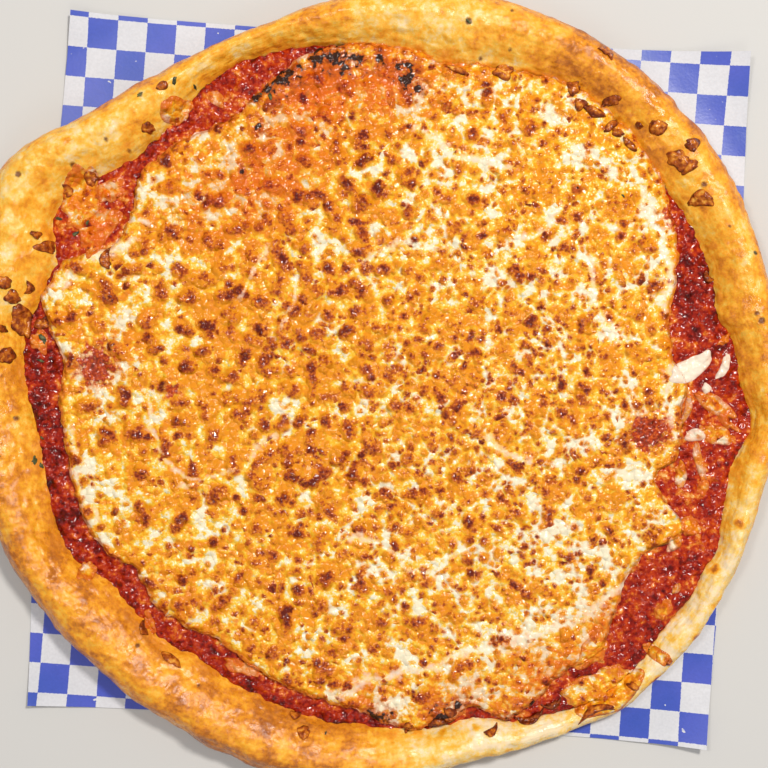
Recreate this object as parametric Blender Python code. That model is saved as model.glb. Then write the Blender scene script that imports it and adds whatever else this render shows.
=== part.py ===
"""A whole baked cheese pizza on its square sheet of checked liner paper.

Lengths are in metres and +Z is up. The pizza is a floor of dough with a puffed rim, a spread of
tomato sauce on the floor and a melted layer of cheese on the sauce. Browned scraps of cheese that
ran over the edge of the topping are baked on to the rim. The liner lies flat under the pizza and
its four corners, which stick out past the crust, curl up a little.
"""

import math
import random

import bmesh
import bpy
from mathutils import Matrix, Vector, noise

# Clear space between pieces that lie on each other
GAP = 0.0003

# The sheet of paper, its turn under the pizza, and the curl of its free corners
LINER_SIDE = 0.305
LINER_THICKNESS = 0.0004
LINER_TURN = math.radians(-3.6)
LINER_OFFSET = Vector((0.0058, 0.0020, 0.0))
LINER_CELLS = 14
CORNER_FLAT_RADIUS = 0.187
CORNER_CURL_REACH = 0.030
CORNER_LIFT = 0.0055

# The dough
CRUST_RADIUS = 0.1760
RIM_HEIGHT = 0.0195
FLOOR_THICKNESS = 0.0058
NARROWEST_RIM = 0.0085
LOWEST_NARROW_RIM = 0.70
RIM_RELIEF = 0.0011
RIM_RELIEF_SCALE = 0.020

# The topping
TOPPING_RADIUS = 0.1500
CHEESE_RADIUS = 0.1355
NARROWEST_SAUCE_BAND = 0.0028
SAUCE_THICKNESS = 0.0018
SAUCE_LUMP = 0.0009
SAUCE_LUMP_SCALE = 0.008
WIDE_SAUCE_BAND = 0.012
CHEESE_THICKNESS = 0.0034
CHEESE_EDGE_ROUNDING = 0.0016
CHEESE_SWELL = 0.0008
CHEESE_SWELL_SCALE = 0.030
BLISTER_HEIGHT = 0.0018
BLISTER_SCALE = 0.0085

# Heights of the flat faces at which the pieces lie on each other
DOUGH_BASE = LINER_THICKNESS + GAP
SAUCE_BASE = DOUGH_BASE + FLOOR_THICKNESS + GAP
CHEESE_BASE = SAUCE_BASE + SAUCE_THICKNESS + GAP

# Rings across the top of the cheese, which sets the corners round every outline
CHEESE_RINGS = 22
SEGMENTS = 6 * CHEESE_RINGS

# Each lobe is (direction in degrees from +X, width in degrees, how far the outline moves out)
CRUST_LOBES = (
    (40, 26, 0.0042),
    (-45, 13, 0.0048),
    (-72, 9, -0.0050),
    (114, 19, -0.0118),
    (150, 6.5, 0.0138),
    (180, 16, 0.0040),
    (-128, 12, -0.0030),
)
TOPPING_LOBES = (
    (-53, 8, 0.0200),
    (-38, 9, 0.0090),
    (-24, 8, 0.0135),
    (-4, 5, 0.0145),
    (19, 7, 0.0030),
    (43, 10, 0.0130),
    (82, 6, -0.0140),
    (130, 9, -0.0080),
    (153, 7, 0.0095),
    (-150, 5, 0.0020),
    (-123, 17, -0.0085),
    (-72, 8, 0.0080),
)
CHEESE_LOBES = (
    (11, 9, -0.0050),
    (-22, 2.5, -0.0120),
    (-27, 3.5, 0.0150),
    (-36, 3, -0.0050),
    (-60, 7, 0.0060),
    (-75, 13, 0.0100),
    (-118, 8, -0.0080),
    (-151, 6, 0.0040),
    (150, 7, -0.0060),
    (165, 8, 0.0060),
    (122, 4, -0.0070),
    (52, 18, 0.0260),
    (92, 16, 0.0130),
)
RIM_HEIGHT_LOBES = (
    (148, 16, 0.0035),
    (-52, 14, -0.0060),
    (-10, 14, 0.0010),
    (85, 12, 0.0015),
    (-140, 18, 0.0020),
)

# The rim in section, from the foot outside to the floor inside: the share of the rim's width that
# the point lies in from the outline, and the share of the rim's height
RIM_SECTION = (
    (0.20, 0.00),
    (0.07, 0.07),
    (0.01, 0.22),
    (0.00, 0.40),
    (0.03, 0.60),
    (0.10, 0.78),
    (0.22, 0.92),
    (0.37, 1.00),
    (0.53, 0.98),
    (0.69, 0.87),
    (0.83, 0.68),
    (0.94, 0.47),
)
RIM_WAIST = 0.40

# The open band of sauce in section, from its outer edge to the edge of the cheese
SAUCE_BAND_SHARES = (1.0, 0.90, 0.70, 0.45, 0.20, 0.0)

# Browned scraps of cheese baked on to the rim: (direction, spread, mean share of the rim's width
# in from the outline, how many), and their sizes
SCRAP_ARCS = (
    (45, 12, 0.66, 9),
    (27, 4, 0.62, 2),
    (172, 5, 0.72, 4),
    (101, 9, 0.80, 6),
    (-74, 12, 0.80, 5),
    (150, 7, 0.80, 3),
)
SCRAP_LENGTHS = (0.0050, 0.0092)
SCRAP_WIDTH_SHARES = (0.44, 0.72)
SCRAP_HEIGHT = 0.0020
SCRAP_SUNK = 0.0007
SCRAP_JITTER_DEGREES = 1.2
SCRAP_JITTER_ACROSS = 0.14
SCRAP_ROUGHNESS = 0.25
SEED = 14


def clear_scene():
    """Removes the objects that the file opens with."""
    for obj in list(bpy.data.objects):
        bpy.data.objects.remove(obj)


def outline(degrees, mean, lobes):
    """A value round the pizza, such as a radius: a mean, moved up or down by rounded lobes."""
    total = mean
    for centre, width, reach in lobes:
        away = (degrees - centre + 180) % 360 - 180
        total += reach * math.exp(-0.5 * (away / width) ** 2)
    return total


def crust_radius(degrees):
    return outline(degrees, CRUST_RADIUS, CRUST_LOBES)


def topping_radius(degrees):
    """Where the floor ends and the rim starts to rise, kept clear of the outline of the crust."""
    return min(
        outline(degrees, TOPPING_RADIUS, TOPPING_LOBES),
        crust_radius(degrees) - NARROWEST_RIM,
    )


def sauce_radius(degrees):
    return topping_radius(degrees) - 2 * GAP


def cheese_radius(degrees):
    """The edge of the cheese, which always leaves a thin band of sauce outside it."""
    return min(
        outline(degrees, CHEESE_RADIUS, CHEESE_LOBES),
        sauce_radius(degrees) - NARROWEST_SAUCE_BAND,
    )


def directions():
    return [360 * i / SEGMENTS for i in range(SEGMENTS)]


def polar(degrees, radius, height):
    angle = math.radians(degrees)
    return Vector((radius * math.cos(angle), radius * math.sin(angle), height))


def relief(point, scale, depth, octaves=2):
    """Smooth uneven height at a point of the surface."""
    return depth * noise.fractal(point / scale, 0.8, 2.0, octaves)


def material(name, colour, roughness):
    made = bpy.data.materials.new(name)
    made.use_nodes = True
    shader = made.node_tree.nodes["Principled BSDF"]
    shader.inputs["Base Color"].default_value = (*colour, 1)
    shader.inputs["Roughness"].default_value = roughness
    shader.inputs["Metallic"].default_value = 0.0
    return made


def add_object(name, shape, finish):
    """Makes a bmesh a named object that is shaded smooth, with its normals facing out."""
    bmesh.ops.recalc_face_normals(shape, faces=shape.faces)
    mesh = bpy.data.meshes.new(name)
    shape.to_mesh(mesh)
    shape.free()
    mesh.shade_smooth()
    mesh.set_sharp_from_angle(angle=math.radians(50))
    obj = bpy.data.objects.new(name, mesh)
    obj.data.materials.append(finish)
    bpy.context.scene.collection.objects.link(obj)
    return obj


def stack_rings(shape, rings):
    """Joins rings of points, each with as many points, by bands of faces, and gives their corners."""
    loops = [[shape.verts.new(p) for p in ring] for ring in rings]
    for lower, upper in zip(loops, loops[1:]):
        for i in range(len(lower)):
            j = (i + 1) % len(lower)
            shape.faces.new((lower[i], lower[j], upper[j], upper[i]))
    return loops


def close_with_fan(shape, loop, centre):
    """Closes a flat ring by a fan of triangles round one point."""
    hub = shape.verts.new(centre)
    for i in range(len(loop)):
        shape.faces.new((loop[i], loop[(i + 1) % len(loop)], hub))


def close_with_nested_rings(shape, loop, place):
    """Closes a ring of 6 n corners by nested rings, each with 6 corners fewer, down to one point.

    That gives triangles of one size all over. place(degrees, share) is the point at a share of
    the way from the middle to the outer ring.
    """
    count = len(loop) // 6
    outer = loop
    for k in range(count - 1, -1, -1):
        corners = max(1, 6 * k)
        inner = [shape.verts.new(place(360 * i / corners, k / count)) for i in range(corners)]
        for side in range(6):
            for i in range(k + 1):
                a = outer[side * (k + 1) + i]
                b = outer[(side * (k + 1) + i + 1) % len(outer)]
                c = inner[(side * k + i) % corners]
                shape.faces.new((a, b, c))
                if i < k:
                    shape.faces.new((b, inner[(side * k + i + 1) % corners], c))
        outer = inner


def rim_point(degrees, width_share, height_share):
    """A point on the skin of the rim, with the unevenness of baked dough."""
    outer = crust_radius(degrees)
    width = outer - topping_radius(degrees)
    narrow = min(1.0, width / (CRUST_RADIUS - TOPPING_RADIUS))
    full_height = outline(degrees, RIM_HEIGHT, RIM_HEIGHT_LOBES)
    height = full_height * (LOWEST_NARROW_RIM + (1 - LOWEST_NARROW_RIM) * narrow)
    point = polar(degrees, outer - width_share * width, DOUGH_BASE + height_share * height)
    outward = polar(degrees, 1.0 - 1.6 * width_share, height_share).normalized()
    fade_at_foot = min(1.0, height_share / RIM_WAIST)
    return point + outward * relief(point, RIM_RELIEF_SCALE, RIM_RELIEF, 3) * fade_at_foot


def crust_shape():
    """The dough: a flat underside, a puffed rim all round and a flat floor inside it."""
    floor = DOUGH_BASE + FLOOR_THICKNESS
    rings = [[rim_point(d, *section) for d in directions()] for section in RIM_SECTION]
    rings.append([polar(d, topping_radius(d), floor) for d in directions()])
    shape = bmesh.new()
    loops = stack_rings(shape, rings)
    close_with_fan(shape, loops[0], (0, 0, DOUGH_BASE))
    close_with_fan(shape, loops[-1], (0, 0, floor))
    return shape


def sauce_point(degrees, share):
    """A point on top of the sauce, at a share of the way out across the open band."""
    start = cheese_radius(degrees) + 3 * GAP
    width = sauce_radius(degrees) - start
    point = polar(degrees, start + share * width, SAUCE_BASE + SAUCE_THICKNESS)
    if share == 1.0:
        point.z -= 0.5 * SAUCE_THICKNESS
    else:
        swell = min(1.0, width / WIDE_SAUCE_BAND) * math.sin(math.pi * share)
        lump = SAUCE_LUMP + relief(point, SAUCE_LUMP_SCALE, SAUCE_LUMP)
        point.z += max(0.0, swell * lump)
    return point


def sauce_shape():
    """The sauce: flat under the cheese, and lumpy in the band that the cheese leaves open."""
    rings = [[polar(d, sauce_radius(d), SAUCE_BASE) for d in directions()]]
    for share in SAUCE_BAND_SHARES:
        rings.append([sauce_point(d, share) for d in directions()])
    shape = bmesh.new()
    loops = stack_rings(shape, rings)
    close_with_fan(shape, loops[0], (0, 0, SAUCE_BASE))
    close_with_fan(shape, loops[-1], (0, 0, SAUCE_BASE + SAUCE_THICKNESS))
    return shape


def cheese_point(degrees, share):
    """A point on top of the melted cheese, which has slow swells with blisters between them."""
    radius = (cheese_radius(degrees) - CHEESE_EDGE_ROUNDING) * share
    point = polar(degrees, radius, CHEESE_BASE + CHEESE_THICKNESS)
    blister = BLISTER_HEIGHT * max(0.0, noise.noise(point / BLISTER_SCALE))
    point.z += relief(point, CHEESE_SWELL_SCALE, CHEESE_SWELL) + blister
    return point


def cheese_shape():
    """The cheese: a melted sheet with a rounded edge and a blistered top."""
    edge = CHEESE_EDGE_ROUNDING
    section = ((0.30 * edge, 0.00), (0.00, 0.35), (0.35 * edge, 0.75))
    rings = []
    for inset, rise in section:
        height = CHEESE_BASE + rise * CHEESE_THICKNESS
        rings.append([polar(d, cheese_radius(d) - inset, height) for d in directions()])
    rings.append([cheese_point(d, 1.0) for d in directions()])
    shape = bmesh.new()
    loops = stack_rings(shape, rings)
    close_with_fan(shape, loops[0], (0, 0, CHEESE_BASE))
    close_with_nested_rings(shape, loops[-1], cheese_point)
    return shape


def section_height(across):
    """The share of the rim's height at a share of its width, on its upper side."""
    upper = [p for p in RIM_SECTION if p[1] >= RIM_WAIST]
    for (a, low), (b, high) in zip(upper, upper[1:]):
        if a <= across <= b:
            return low + (high - low) * (across - a) / (b - a)
    return upper[-1][1]


def skin_point(degrees, across):
    """A point on the upper skin of the rim, at a share of its width in from the outline."""
    return rim_point(degrees, across, section_height(across))


def skin_normal(degrees, across):
    point = skin_point(degrees, across)
    inward = skin_point(degrees, across + 0.04) - point
    along = skin_point(degrees + 1, across) - point
    return along.cross(inward).normalized()


def scrap(place, turn, length, width):
    """One browned scrap of cheese: a flat, uneven pebble lying on the rim."""
    shape = bmesh.new()
    bmesh.ops.create_icosphere(shape, subdivisions=2, radius=0.5)
    for vertex in shape.verts:
        vertex.co *= 1.0 + SCRAP_ROUGHNESS * noise.noise(vertex.co * 2.5 + place * 900)
    size = Matrix.Diagonal((length, width, 2 * SCRAP_HEIGHT, 1))
    shape.transform(Matrix.Translation(place) @ turn.to_matrix().to_4x4() @ size)
    mesh = bpy.data.meshes.new("scrap")
    shape.to_mesh(mesh)
    shape.free()
    return bpy.data.objects.new("scrap", mesh)


def scraps():
    """The scraps, scattered by a seeded draw along the arcs where the real ones lie."""
    chooser = random.Random(SEED)
    group = bpy.data.collections.new("scraps")
    bpy.context.scene.collection.children.link(group)
    for centre, spread, share, count in SCRAP_ARCS:
        for i in range(count):
            slot = (i + 0.5) / count * 2 - 1
            jitter = chooser.uniform(-SCRAP_JITTER_DEGREES, SCRAP_JITTER_DEGREES)
            degrees = centre + spread * slot + jitter
            length = chooser.uniform(*SCRAP_LENGTHS)
            width = length * chooser.uniform(*SCRAP_WIDTH_SHARES)
            rim_width = crust_radius(degrees) - topping_radius(degrees)
            clear_of_sauce = 1 - 0.8 * length / rim_width
            across = share + chooser.uniform(-SCRAP_JITTER_ACROSS, SCRAP_JITTER_ACROSS)
            across = min(across, clear_of_sauce)
            normal = skin_normal(degrees, across)
            turn = normal.to_track_quat("Z", "X")
            turn.rotate(Matrix.Rotation(chooser.uniform(0, math.pi), 3, normal))
            place = skin_point(degrees, across) - normal * SCRAP_SUNK
            group.objects.link(scrap(place, turn, length, width))
    return group


def join_scraps(crust, group):
    """Fuses the scraps to the crust with one Boolean union, and removes the loose ones."""
    union = crust.modifiers.new("join_scraps", "BOOLEAN")
    union.operation = "UNION"
    union.operand_type = "COLLECTION"
    union.collection = group
    union.solver = "EXACT"
    bpy.context.view_layer.update()
    graph = bpy.context.evaluated_depsgraph_get()
    joined = bpy.data.meshes.new_from_object(crust.evaluated_get(graph))
    crust.modifiers.clear()
    crust.data = joined
    for obj in list(group.objects):
        bpy.data.objects.remove(obj)
    bpy.data.collections.remove(group)


def liner_shape():
    """The sheet of paper: a thin slab whose corners rise where no crust holds them down."""
    shape = bmesh.new()
    half = LINER_SIDE / 2
    bmesh.ops.create_grid(shape, x_segments=LINER_CELLS, y_segments=LINER_CELLS, size=half)
    shape.transform(Matrix.Translation(LINER_OFFSET) @ Matrix.Rotation(LINER_TURN, 4, "Z"))
    for vertex in shape.verts:
        beyond = max(0.0, vertex.co.length - CORNER_FLAT_RADIUS) / CORNER_CURL_REACH
        vertex.co.z = CORNER_LIFT * beyond**2
    made = bmesh.ops.extrude_face_region(shape, geom=shape.faces[:])
    for vertex in (v for v in made["geom"] if isinstance(v, bmesh.types.BMVert)):
        vertex.co.z += LINER_THICKNESS
    return shape


def centre_on_origin(objects, widest):
    """Moves all so that the middle of the widest one's box, seen from above, is the origin."""
    xs = [v.co.x for v in widest.data.vertices]
    ys = [v.co.y for v in widest.data.vertices]
    middle = Vector(((min(xs) + max(xs)) / 2, (min(ys) + max(ys)) / 2, 0))
    for obj in objects:
        obj.data.transform(Matrix.Translation(-middle))


def build():
    clear_scene()
    paper = material("liner_paper", (0.62, 0.66, 0.80), 0.6)
    baked_dough = material("crust", (0.78, 0.42, 0.11), 0.5)
    tomato = material("sauce", (0.42, 0.04, 0.015), 0.3)
    melted_cheese = material("cheese", (0.80, 0.40, 0.08), 0.35)
    liner = add_object("liner_paper", liner_shape(), paper)
    crust = add_object("crust", crust_shape(), baked_dough)
    join_scraps(crust, scraps())
    sauce = add_object("sauce", sauce_shape(), tomato)
    cheese = add_object("cheese", cheese_shape(), melted_cheese)
    centre_on_origin((liner, crust, sauce, cheese), crust)


build()
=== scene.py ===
"""Looks for a whole baked cheese pizza on its square sheet of checked liner paper."""

import itertools
import math
import random

import bpy
import numpy as np
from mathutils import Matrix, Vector
from mathutils.bvhtree import BVHTree


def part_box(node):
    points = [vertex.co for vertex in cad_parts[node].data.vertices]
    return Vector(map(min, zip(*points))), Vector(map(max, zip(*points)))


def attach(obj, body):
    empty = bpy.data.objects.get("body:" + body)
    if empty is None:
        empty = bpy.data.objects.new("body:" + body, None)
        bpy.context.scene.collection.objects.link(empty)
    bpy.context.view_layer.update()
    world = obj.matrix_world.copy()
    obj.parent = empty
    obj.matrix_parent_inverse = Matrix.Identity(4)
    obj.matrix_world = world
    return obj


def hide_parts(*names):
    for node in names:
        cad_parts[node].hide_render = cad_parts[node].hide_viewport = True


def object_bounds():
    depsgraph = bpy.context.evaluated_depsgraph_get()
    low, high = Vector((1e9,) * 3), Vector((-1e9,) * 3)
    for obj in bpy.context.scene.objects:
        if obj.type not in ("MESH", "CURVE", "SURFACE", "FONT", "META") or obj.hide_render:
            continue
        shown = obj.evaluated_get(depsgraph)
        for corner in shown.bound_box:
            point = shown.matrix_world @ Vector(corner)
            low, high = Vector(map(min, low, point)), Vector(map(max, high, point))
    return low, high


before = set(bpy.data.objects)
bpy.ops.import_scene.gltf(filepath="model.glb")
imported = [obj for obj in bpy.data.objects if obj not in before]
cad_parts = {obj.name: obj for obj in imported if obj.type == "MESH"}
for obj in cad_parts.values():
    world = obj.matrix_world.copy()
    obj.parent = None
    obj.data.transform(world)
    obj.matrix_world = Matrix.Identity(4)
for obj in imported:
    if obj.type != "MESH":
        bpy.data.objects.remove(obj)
cad_low, cad_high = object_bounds()


# Studio
# A plain pale floor. One fairly hard lamp shines from the upper right, a weaker one from the upper
# left and a broad faint one from the lower side, and soft light comes from all round. The camera
# looks straight down.
paper_low, paper_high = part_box("liner_paper")
PAPER_MIDDLE = (paper_low + paper_high) / 2
CAMERA_OFFSET = Vector((-0.0018, -0.0020, 0.62))
CAMERA_LENS = 65.5
NEAREST_SEEN = 0.01
STUDIO_SIZE = 8
STUDIO_DROP = 0.0004
STUDIO_COLOUR = (0.62, 0.60, 0.57, 1)
STUDIO_ROUGHNESS = 0.8
LAMP_DISTANCE = 1.6
LAMP_COLOUR = (1.0, 0.97, 0.93)
ROOM_COLOUR = (0.93, 0.96, 1.0, 1)
ROOM_STRENGTH = 0.38
# Each lamp is (direction in degrees from +X, height in degrees, diameter, watts)
LAMPS = ((50, 60, 0.22, 17.5), (150, 66, 0.26, 5.0), (-80, 50, 0.60, 2.0))

bpy.ops.object.select_all(action="DESELECT")
bpy.ops.object.camera_add(location=PAPER_MIDDLE * Vector((1, 1, 0)) + CAMERA_OFFSET)
camera = bpy.context.object
camera.data.lens = CAMERA_LENS
camera.data.clip_start = NEAREST_SEEN
bpy.context.scene.camera = camera

bpy.ops.mesh.primitive_plane_add(size=STUDIO_SIZE, location=(0, 0, -STUDIO_DROP))
floor = bpy.context.object
floor.name = "floor"
floor_finish = bpy.data.materials.new("floor")
floor_finish.use_nodes = True
floor_shader = floor_finish.node_tree.nodes["Principled BSDF"]
floor_shader.inputs["Base Color"].default_value = STUDIO_COLOUR
floor_shader.inputs["Roughness"].default_value = STUDIO_ROUGHNESS
floor.data.materials.append(floor_finish)

for azimuth, elevation, diameter, power in LAMPS:
    round_turn, up_turn = math.radians(azimuth), math.radians(elevation)
    level_part = math.cos(up_turn)
    towards = Vector(
        (math.cos(round_turn) * level_part, math.sin(round_turn) * level_part, math.sin(up_turn))
    )
    bpy.ops.object.light_add(type="AREA", location=towards * LAMP_DISTANCE)
    lamp = bpy.context.object
    lamp.rotation_euler = towards.to_track_quat("Z", "Y").to_euler()
    lamp.data.shape = "DISK"
    lamp.data.size = diameter
    lamp.data.energy = power
    lamp.data.color = LAMP_COLOUR

room = bpy.data.worlds.new("room")
room.use_nodes = True
room.node_tree.nodes["Background"].inputs["Color"].default_value = ROOM_COLOUR
room.node_tree.nodes["Background"].inputs["Strength"].default_value = ROOM_STRENGTH
bpy.context.scene.world = room
bpy.context.scene.view_settings.view_transform = "Standard"


# Liner paper
# One sheet of thin greaseproof paper, printed on its upper side with a blue and white check. It
# is cut a little out of true to its print, and its corners curl where no crust holds them down.
PAPER_SIDE = 0.305
PAPER_THICKNESS = 0.0002
PAPER_TOP = 0.0003
PAPER_TURN = math.radians(-3.6)
PAPER_CELLS = 120
CORNER_SPREAD = (0.983, 1.009)
EDGE_BOW = (0.024, -0.012)
CORNER_FLAT_RADIUS = 0.187
CORNER_CURL_REACH = 0.030
CORNER_LIFT = 0.0052
CHECK_SIZE = (0.01291, 0.01302)
CHECK_TURN = math.radians(-4.35)
CHECK_MIDDLE = (-0.0021, 0.0000)
CHECK_WOBBLE = (0.05, 0.05, 0.0)
CHECK_START = (101.0, 100.5, 0.5)
CREASE_RAISE = 0.0002
PAPER_RELIEF = 0.0002
# Layers of unevenness, each (size of its bumps, height in metres, octaves)
CREASES = ((0.028, 0.0005, 2), (0.009, 0.00012, 1))

# The middle of the pizza is the middle corner of the cheese, which is the one nearest the origin
cheese_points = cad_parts["cheese"].data.vertices
PIZZA_MIDDLE = min((v.co for v in cheese_points), key=lambda p: p.xy.length).xy.to_3d()

STEPS = np.random.RandomState(7)
SHUFFLE = np.tile(STEPS.permutation(256), 2)
SLOPES = STEPS.normal(size=(256, 3))
SLOPES /= np.linalg.norm(SLOPES, axis=1)[:, None]


def unevenness(points, size, octaves=1):
    """Smooth noise from about -1 to 1 at an array of points, with bumps of a size in metres."""
    total = np.zeros(len(points))
    for octave in range(octaves):
        place = points / size * 2**octave + 37.7 * octave
        cell = np.floor(place).astype(int)
        part = place - cell
        fade = part**3 * (part * (part * 6 - 15) + 10)
        for corner in itertools.product((0, 1), repeat=3):
            x, y, z = (cell + corner).T & 255
            slope = SLOPES[SHUFFLE[SHUFFLE[SHUFFLE[x] + y] + z]]
            share = np.prod(np.where(corner, fade, 1 - fade), axis=1)
            total += share * np.sum(slope * (part - corner), axis=1) * 1.6 / 2**octave
    return total


def layered(points, layers):
    """Layers of unevenness added up, each (size of its bumps, height in metres, octaves)."""
    return sum(height * unevenness(points, size, octaves) for size, height, octaves in layers)


def points_of(mesh):
    """The mesh's vertices as an array with one row for each."""
    flat = np.empty(len(mesh.vertices) * 3)
    mesh.vertices.foreach_get("co", flat)
    return flat.reshape(-1, 3)


def move_points(mesh, places):
    """Moves the mesh's vertices to an array of places."""
    mesh.vertices.foreach_set("co", np.ascontiguousarray(places).ravel())
    mesh.update()


def finish_material(name):
    """A new material, its shader, and functions that add a node and that fill or link an input."""
    made = bpy.data.materials.new(name)
    made.use_nodes = True
    tree = made.node_tree

    def add(kind, *inputs, **settings):
        node = tree.nodes.new("ShaderNode" + kind)
        for key, value in settings.items():
            if key in node.bl_rna.properties:
                setattr(node, key, value)
            else:
                connect(value, node.inputs[key.replace("_", " ")])
        for value, socket in zip(inputs, node.inputs):
            if value is not None:
                connect(value, socket)
        return node.outputs[0]

    def connect(value, socket):
        if isinstance(value, bpy.types.NodeSocket):
            tree.links.new(value, socket)
        else:
            socket.default_value = value

    return made, tree.nodes["Principled BSDF"], add, connect


def mixed(add, share, low, high, blend_type="MIX"):
    """A colour between two, by a share from 0 to 1."""
    for_other_types = [None] * 5
    mix = add("Mix", share, *for_other_types, low, high, data_type="RGBA", blend_type=blend_type)
    return mix.node.outputs[2]


def ramped(add, value, *stops):
    """A colour read from stops of (position, colour)."""
    out = add("ValToRGB", value)
    ramp = out.node.color_ramp
    while len(ramp.elements) < len(stops):
        ramp.elements.new(1.0)
    for element, (position, colour) in zip(ramp.elements, stops):
        element.position = position
        element.color = (*colour, 1)
    return out


def roughen(add, connect, shader, height, depth, strength=1.0):
    """A fine relief on the shader, read from a height and as deep as a size in metres."""
    bump = add("Bump", strength, depth)
    connect(height, bump.node.inputs["Height"])
    connect(bump, shader.inputs["Normal"])


bpy.ops.mesh.primitive_grid_add(
    x_subdivisions=PAPER_CELLS, y_subdivisions=PAPER_CELLS, size=PAPER_SIDE, location=(0, 0, 0)
)
liner = bpy.context.object
liner.name = "checked_liner"
sheet = points_of(liner.data)
across = sheet[:, :2] / (PAPER_SIDE / 2)
spread = CORNER_SPREAD + np.array(EDGE_BOW) * (1 - across[:, ::-1] ** 2)
flat_sheet = sheet[:, :2] * spread
cosine, sine = math.cos(PAPER_TURN), math.sin(PAPER_TURN)
sheet[:, :2] = flat_sheet @ np.array(((cosine, sine), (-sine, cosine))) + PAPER_MIDDLE.xy
beyond = np.linalg.norm(sheet[:, :2] - PIZZA_MIDDLE.xy, axis=1) - CORNER_FLAT_RADIUS
beyond = np.clip(beyond / CORNER_CURL_REACH, 0, None)
creases = np.clip(layered(sheet, CREASES) + CREASE_RAISE, 0, None) * np.clip(4 * beyond, 0, 1)
sheet[:, 2] = PAPER_TOP + CORNER_LIFT * beyond**2 + creases
move_points(liner.data, sheet)
thickness = liner.modifiers.new("thickness", "SOLIDIFY")
thickness.thickness = PAPER_THICKNESS
thickness.offset = -1
thickness.material_offset = 1
thickness.material_offset_rim = 1
bpy.ops.object.modifier_apply(modifier=thickness.name)
bpy.ops.object.shade_smooth_by_angle(angle=math.radians(40))

printed, shader, add, connect = finish_material("printed_paper")
place = add("TexCoord").node.outputs["Object"]
middle = PAPER_MIDDLE + Vector((*CHECK_MIDDLE, 0))
to_print = add("Mapping", place, vector_type="TEXTURE")
to_print.node.inputs["Location"].default_value = (middle.x, middle.y, 0)
to_print.node.inputs["Rotation"].default_value = (0, 0, CHECK_TURN)
to_print.node.inputs["Scale"].default_value = (*CHECK_SIZE, 1)
fibre = add("TexNoise", place, Scale=900.0, Detail=3.0)
smear = add("TexNoise", place, Scale=2600.0, Detail=1.0).node.outputs["Color"]
wobble = add("VectorMath", smear, (0.5, 0.5, 0.5), operation="SUBTRACT")
wobbly = add("VectorMath", wobble, CHECK_WOBBLE, to_print, operation="MULTIPLY_ADD")
lifted = add("VectorMath", wobbly, CHECK_START, operation="ADD")
check = add("TexChecker", lifted, (1, 1, 1, 1), (0, 0, 0, 1), 1.0)
scuffs = add("TexNoise", place, Scale=330.0, Detail=2.0)
worn = add("MapRange", scuffs, 0.735, 0.76, 0.0, 1.0)
inked = add("Math", check, add("Math", 1.0, worn, operation="SUBTRACT"), operation="MULTIPLY")
cloud = add("TexNoise", place, Scale=22.0, Detail=3.0)
white = ramped(add, cloud, (0.3, (0.60, 0.60, 0.63)), (0.7, (0.70, 0.69, 0.71)))
blue = ramped(add, cloud, (0.3, (0.028, 0.075, 0.42)), (0.7, (0.085, 0.110, 0.54)))
ink = mixed(add, inked, white, blue)
grain = add("MapRange", fibre, 0.3, 0.7, 0.94, 1.04)
connect(mixed(add, 1.0, ink, grain, "MULTIPLY"), shader.inputs["Base Color"])
connect(add("MapRange", inked, 0.0, 1.0, 0.52, 0.36), shader.inputs["Roughness"])
roughen(add, connect, shader, fibre, PAPER_RELIEF, 0.25)

plain, shader, add, connect = finish_material("bare_paper")
place = add("TexCoord").node.outputs["Object"]
fibre = add("TexNoise", place, Scale=700.0, Detail=3.0)
greyish = ramped(add, fibre, (0.3, (0.58, 0.58, 0.62)), (0.7, (0.66, 0.66, 0.69)))
connect(greyish, shader.inputs["Base Color"])
shader.inputs["Roughness"].default_value = 0.6

liner.data.materials.append(printed)
liner.data.materials.append(plain)
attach(liner, "root")
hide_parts("liner_paper")


# Crust
# Stretched dough with a rim that puffed up and browned in a hot oven and then took up oil. Its
# floor runs on under the sauce. The skin has soft swellings, wrinkles, blisters and small pits.
AROUND = 1320
RIM_STEPS = 60
CRUST_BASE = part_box("crust")[0].z
FLOOR_HEIGHT = 0.0058
SAUCE_DEPTH = 0.0021
SAUCE_TOP = CRUST_BASE + FLOOR_HEIGHT + SAUCE_DEPTH
# The smooth shape stays this far inside the outline and below the top, to leave room for the skin
CRUST_INSET = 0.0005
CRUST_LOWERED = 0.0009
MARGIN_IN_BOX = 0.00005
NARROWEST_RIM = 0.0085
# The rim's usual width and height
USUAL_RIM = (0.026, 0.0195)
CAD_CORNERS = 132
# Noise along a round line is read on a circle of this radius
NOISE_RADIUS = 0.15
FOOT_WANDER = ((0.006, 0.0006, 2),)
SKIN_LUMPS = ((0.021, 0.0009, 2), (0.0045, 0.00026, 2), (0.0019, 0.00008, 1))
SKIN_STREAKS = ((0.0042, 0.00014, 2),)
GRAIN_RADIUS = 0.16
LONG_MARKS = (0.28, 0.28, 1)
FOLD_SIZE = 0.0075
FOLD_HEIGHT = 0.00014
PUFFS = 170
PUFF_SIZE = (0.0018, 0.0060)
PUFF_RISE = (0.05, 0.17)
# Pits sink this far, and none is nearer than this to the dough's underside
PIT_DEPTH = 0.0004
PIT_FREE_HEIGHT = 0.003
RIM_TOP_WAVES = 14
MERGE_DISTANCE = 0.000001
SKIN_RELIEF = 0.0011
STAIN_RED = (0.70, 0.14, 0.010, 1)
STAIN_ORANGE = (0.88, 0.34, 0.020, 1)
PIT_SHADE = (0.14, 0.028, 0.005, 1)
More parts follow.
